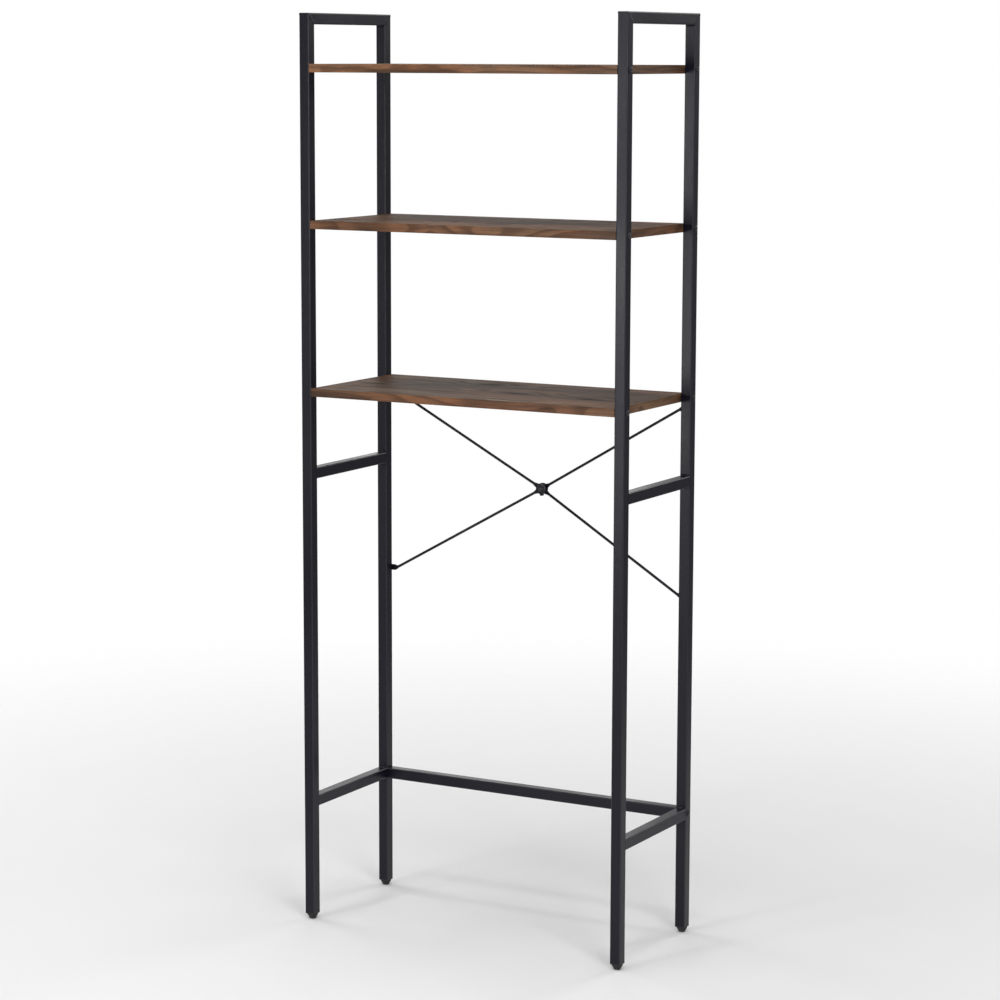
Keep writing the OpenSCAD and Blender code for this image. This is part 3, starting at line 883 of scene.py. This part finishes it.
# %% Clamp plates
LUG_HALF, LUG_T, LUG_BEHIND, SETBACK = 2.5 * MM, 2.6 * MM, 4.0 * MM, 0.6 * MM
NECK_LOW, NECK_HIGH = 1.2 * MM, 5.0 * MM
front_face = CROSS_Y - (MID_T + PLATE_T * MM)
start_y, lug_z = front_face + SETBACK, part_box("clamp_front")[0].z
lug = block((-LUG_HALF, start_y, lug_z), (LUG_HALF, CROSS_Y + LUG_BEHIND, lug_z + LUG_T))
neck = block(
    (-LUG_HALF, start_y, lug_z + NECK_LOW),
    (LUG_HALF, front_face + PLATE_T * MM, lug_z + NECK_HIGH),
)
front_plate = set_at(plate_rings, [(0, CROSS_Y - MID_T, BRACE_MIDDLE)], [(0, -1, 0)])
rear_plate = set_at(plate_rings, [(0, CROSS_Y + MID_T, BRACE_MIDDLE)], [(0, 1, 0)])
stacks = [(front_plate, True), (lug[None], False), (neck[None], False)]
solid("plate_front", stacks, coat_plain, "rack", ["clamp_front"])
solid("plate_rear", [(rear_plate, True)], coat_plain, "rack", ["clamp_rear"])

# %% Clamp screw and brace screws
M5 = {"shank": SCREW_R, "head": M5_HEAD, "rise": 2.6, "socket": 3.0, "floor": 1.0}
clamp_m5, brace_m5 = button_bolt(length=14.4, **M5), button_bolt(length=11, **M5)
heads = [(s * TAB_X, BACK + TAB_T, z) for s in LEFT_RIGHT for z in (BRACE_LOW, BRACE_TOP)]
bolts("crossing_screw", clamp_m5, [(0, front_face, BRACE_MIDDLE)], [(0, -1, 0)], ["clamp_screw"])
bolts("rod_end_screws", brace_m5, heads, [(0, 1, 0)] * len(heads), ["brace_screws"])

# %% [markdown]
# A hexagon nut is turned too. Its faces are cut back by a 30 degree cone, so the corners drop
# away by (r - r0) tan 30 where the hexagon stands out past the cone's start r0.

# %% Hexagon nut
def hexagon_nut(flats, bore, height, sides=96):
    """Rings of a nut on z = 0, from the bore over the lower face, the six sides and the upper
    face back to the bore."""
    key, r0, lead = flats / sqrt(3), flats / 2 * 0.97, 0.35
    six = key * hexagon(sides)
    drop = np.clip(six - r0, 0, None) * tan(pi / 6)
    lower = [(bore, lead), (bore + lead, 0), (r0, 0), (six, drop)]
    upper = [(r, height - z) for r, z in reversed(lower)]
    r, z = (
        np.array([np.broadcast_to(ring[n], sides) for ring in lower + upper]) for n in (0, 1)
    )
    return turned(r, z, sides)


nut_y = CROSS_Y + MID_T + PLATE_T * MM
nut = set_at(hexagon_nut(flats=8, bore=SCREW_R, height=4), [(0, nut_y, BRACE_MIDDLE)], [(0, 1, 0)])
solid("crossing_nut", [(nut, True)], bright_zinc, "rack", ["clamp_nut"])

# %% [markdown]
# ## Levelling feet
#
# Each foot is a threaded stem with a tapered plastic pad moulded round its head. The thread is a
# true helix: the radius is least wherever height over pitch less angle over a turn comes to a
# half. The pad is turned, and its rim has shallow flutes to grip it by.

# %% Threaded stem
def threaded_stem(radius, low, high, pitch=1.0, depth=0.55, sides=36):
    """Rings of a threaded stem: radius less depth (1 - cos(2 pi (z / pitch - a / 2 pi))) / 2,
    narrowing over the last millimetre at both ends, which close in a point."""
    z = np.linspace(low, high, int((high - low) / pitch * 9))[:, None]
    thread = depth * (1 - np.cos(2 * pi * z / pitch - around(sides)[None, :])) / 2
    lead = np.clip(np.minimum(z - low, high - z), 0, 1)
    body = (radius - thread) * np.where(lead < 1, 0.72 + 0.28 * lead, 1)
    body[[0, -1]] = 0
    return turned(body, z, sides)


stem_rings = threaded_stem(radius=3.0, low=3.0, high=30.0)
print("a stem has", len(stem_rings), "rings")

# %% Pad
def foot_pad(top, base, height, flutes=24, sides=144):
    """Rings of a pad: floor face, rounding, cone, upright rim and top, with top and base as
    radii. The rim's rings go in by 0.3 (1 - cos(flutes a)) / 2. The wear value is highest on
    the rounding."""
    corners = [(0, 0), (base, 0), (top, height - 1.9), (top, height), (0, height)]
    outline = softened(corners, [1.0, 0.5, 0.45], 6)
    r, z = outline[:, :1], outline[:, 1:]
    on_rim = smooth(z, height - 2.6, height - 1.6) * smooth(r, top * 0.9, top * 0.97)
    wear = 0.8 * (1 - smooth(z, 0.2, 1.3)) * smooth(r, base * 0.6, base * 0.9)
    groove = on_rim * 0.3 * (1 - np.cos(flutes * around(sides)[None, :])) / 2
    return turned(r - groove, z, sides), np.broadcast_to(wear, (len(r), sides))


pad_rings, pad_wear = foot_pad(top=10.0, base=5.75, height=9.8)
print("a pad has", len(pad_rings), "rings")

# %% Four feet
for name, x, y in (
    ("front_left", -LEG_X, FRONT_Y),
    ("front_right", LEG_X, FRONT_Y),
    ("rear_left", -LEG_X, REAR_Y),
    ("rear_right", LEG_X, REAR_Y),
):
    body = "foot_" + name
    stem, pad = (set_at(part, [(x, y, 0)], [(0, 0, 1)]) for part in (stem_rings, pad_rings))
    nodes = ["foot_stem_" + name]
    solid("stem_" + name, [(stem, False)], bright_zinc, body, nodes)
    nodes = ["foot_pad_" + name]
    solid("pad_" + name, [(pad, False)], moulded, body, nodes, pad_wear)

# %% [markdown]
# ## Welds
#
# A rung meets its leg with a fillet bead above and below. On the flat sides, and along the mitres
# of the top corners, the bead has been ground nearly flush and shows under the powder as a low
# ridge. Both kinds are the same sweep: a closed section carried along a straight line, its size
# rising and falling with each drop of weld.

# %% Weld bead sweep
def columns(x, y, z):
    """Points or directions from their columns, where a column may be one number."""
    return np.stack(np.broadcast_arrays(x, y, z), -1).astype(float)


def beads(starts, ends, out_a, out_b, section, swing=0.09, drop=1.25 * MM, rings=64):
    """Copies of a section, in metres on the axes out_a and out_b, carried from start to end. Its
    size is 1 + swing cos(2 pi s / drop), with a slow drift, and falls to nothing at both ends
    like a quarter circle. Each copy starts at a phase of its own."""
    span = np.linalg.norm(ends - starts, axis=1)[:, None]
    t = (1 - np.cos(np.linspace(0, pi, rings)))[None, :] / 2
    s = t * span
    phase = np.arange(len(starts))[:, None] * 1.7
    ripple = 1 + swing * np.cos(2 * pi * s / drop + phase) + 0.05 * np.sin(s / (4 * MM) + 2 * phase)
    near_end = np.clip(np.minimum(s, span - s) / (1.6 * MM), 0, 1)
    size = (ripple * np.sqrt(1 - (1 - near_end) ** 2))[..., None, None]
    line = starts[:, None] + (ends - starts)[:, None] * t[..., None]
    shape = section[:, 0, None] * out_a[:, None, None] + section[:, 1, None] * out_b[:, None, None]
    return line[:, :, None] + shape * size


# %% [markdown]
# A fillet's section is hollow: (cos a, sin a) raised to a power above 1 bends inwards between its
# two legs. It is closed by a corner that lies a little inside the tubes, so no gap shows.

# %% Fillets of the rungs
LEGS_Y = ((FRONT_Y, 1), (REAR_Y, -1))
FILLET, HOLLOW, ROOT, BEAD_HALF = 2.7 * MM, 1.75, -0.35 * MM, 8.6 * MM
alpha = np.linspace(0, pi / 2, 9)
curve = FILLET * np.stack([np.cos(alpha), np.sin(alpha)], -1) ** HOLLOW
fillet = np.concatenate([curve, [(ROOT, curve[-1, 1]), (ROOT, ROOT), (curve[0, 0], ROOT)]])
corners = [
    (side * LEG_X, y + inward * HALF, height + face * HALF, inward, face)
    for side in LEFT_RIGHT for y, inward in LEGS_Y for height in RUNG_HEIGHTS for face in (-1, 1)
]
corners += [
    (side * LEG_X, y + inward * HALF, TOP_BAR_HEIGHT - HALF, inward, -1)
    for side in LEFT_RIGHT for y, inward in LEGS_Y
]
x, y, z, inward, face = np.array(corners).T
fillets = beads(
    columns(x - BEAD_HALF, y, z), columns(x + BEAD_HALF, y, z),
    columns(0, inward, 0), columns(0, 0, face), fillet,
)
solid("weld_fillets", [(fillets, False)], coat_plain)

# %% Ground seams on the flat sides
SEAM_HALF, SEAM_SWING = 8.5 * MM, 0.05
ridge = np.stack([1.9 * MM * np.cos(around(12)), 0.22 * MM * np.sin(around(12))], -1)
flats = [(side, flat) for side in LEFT_RIGHT for flat in (-1, 1)]
upright = [
    (side * LEG_X + flat * HALF, y + inward * HALF, height, flat)
    for side, flat in flats for y, inward in LEGS_Y for height in RUNG_HEIGHTS
]
x, y, z, flat = np.array(upright).T
seams = beads(
    columns(x, y, z - SEAM_HALF), columns(x, y, z + SEAM_HALF),
    columns(0 * x, 1, 0), columns(flat, 0, 0), ridge, SEAM_SWING,
)
print(len(seams), "upright seams of", len(ridge), "points round")

# %% Seams on the mitres
MITRE_HALF, MITRE_END = 8.8 * MM, 1.2 * MM
mitres = [
    (side * LEG_X + flat * HALF, y, flat, inward)
    for side, flat in flats for y, inward in LEGS_Y
]
x, y, flat, inward = np.array(mitres).T
diagonal = beads(
    columns(x, y - inward * MITRE_HALF, TOP - MITRE_END),
    columns(x, y + inward * MITRE_HALF, TOP - TUBE + MITRE_END),
    columns(0, sqrt(0.5) * inward, sqrt(0.5)), columns(flat, 0, 0), ridge, SEAM_SWING,
)
solid("weld_seams", [(seams, False), (diagonal, False)], coat_plain)

# %% [markdown]
# ## Floor and light
#
# The stage is a pale floor that fades out into a white room, so no horizon cuts through the
# picture. Thin black tubes show hardly anything but what they mirror, so some of the soft boxes
# are placed by the faces that mirror them: a narrow key, low at the front left, by the front
# faces of the right legs, one behind at the right by the sides that face right, and a weak one
# behind at the left by the tops of the rungs and the crossbar. A large box at the front right and
# one overhead light the boards' edges and tops, and one at the left keeps that side readable.

# %% Floor
FLOOR_RADII, FLOOR_SIDES = [0.0, 1.0, 2.0, 3.0, 4.5, 6.0], 96
FADE_FROM, FADE_TO = 0.7, 2.9
floor_rings = turned(FLOOR_RADII, np.zeros(len(FLOOR_RADII)), FLOOR_SIDES)
floor_faces = ring_faces(len(FLOOR_RADII), FLOOR_SIDES)[:, ::-1]
floor_mesh = bpy.data.meshes.new("floor")
floor_mesh.from_pydata(floor_rings.reshape(-1, 3), [], floor_faces.tolist())
close_poles(floor_mesh)
floor = bpy.data.objects.new("floor", floor_mesh)
bpy.context.scene.collection.objects.link(floor)
print("floor", 2 * FLOOR_RADII[-1], "m across")

# %% Paint of the floor
paint, tree, inlets, place = finish("pale_floor", Roughness=0.8, Specular_IOR_Level=0.2)
radius = put(tree, "ShaderNodeVectorMath", {"operation": "LENGTH"}, place).node.outputs["Value"]
mottle = noise(tree, place, (3, 3, 3), 3.0)
pale = tint(tree, mottle, (0.91, 0.91, 0.915, 1), (0.94, 0.94, 0.94, 1))
tree.links.new(pale, inlets["Base Color"])
tree.links.new(spread(tree, radius, FADE_FROM, FADE_TO, 1.0, 0.0), inlets["Alpha"])
floor_mesh.materials.append(paint)
print(f"{paint.name} fades out from {FADE_FROM} to {FADE_TO} m")

# %% World
ROOM_GLOW = 0.24
world = bpy.data.worlds.new("white_room")
bpy.context.scene.world = world
world.use_nodes = True
tree = world.node_tree
seen = put(tree, "ShaderNodeLightPath", {})
glow = sums(tree, "MULTIPLY_ADD", seen, 1 - ROOM_GLOW, ROOM_GLOW)
tree.links.new(glow, tree.nodes["Background"].inputs["Strength"])
tree.nodes["Background"].inputs["Color"].default_value = (1, 1, 1, 1)
bpy.context.scene.view_settings.view_transform = "Standard"
print(f"the room is white to the eye and lights with {ROOM_GLOW}")


# %% Soft boxes
def soft_box(name, place, aim, width, height, power):
    """A rectangular area light at place, facing aim."""
    lamp = bpy.data.lights.new(name, "AREA")
    lamp.shape, lamp.size, lamp.size_y, lamp.energy = "RECTANGLE", width, height, power
    box = bpy.data.objects.new(name, lamp)
    towards = (Vector(aim) - Vector(place)).to_track_quat("-Z", "Y")
    box.matrix_world = Matrix.Translation(place) @ towards.to_matrix().to_4x4()
    bpy.context.scene.collection.objects.link(box)
    print(f"{name}: {width} x {height} m, {power} W")


RACK_MIDDLE = (0, 0, 0.9)
soft_box("key", (-1.55, -4.4, 0.95), (0.1, 0, 0.9), 0.6, 1.2, 50)
soft_box("front_fill", (4.3, -3.8, 2.2), RACK_MIDDLE, 2.0, 2.0, 125)
soft_box("overhead", (0.0, -0.5, 3.6), (0, 0, 0), 2.4, 2.4, 64)
soft_box("back_left", (-2.5, 4.0, 1.7), RACK_MIDDLE, 1.6, 1.6, 14)
soft_box("back_right", (1.4, 4.2, 2.8), RACK_MIDDLE, 1.6, 1.6, 36)
soft_box("left", (-3.8, 0.6, 2.2), RACK_MIDDLE, 1.8, 1.8, 35)
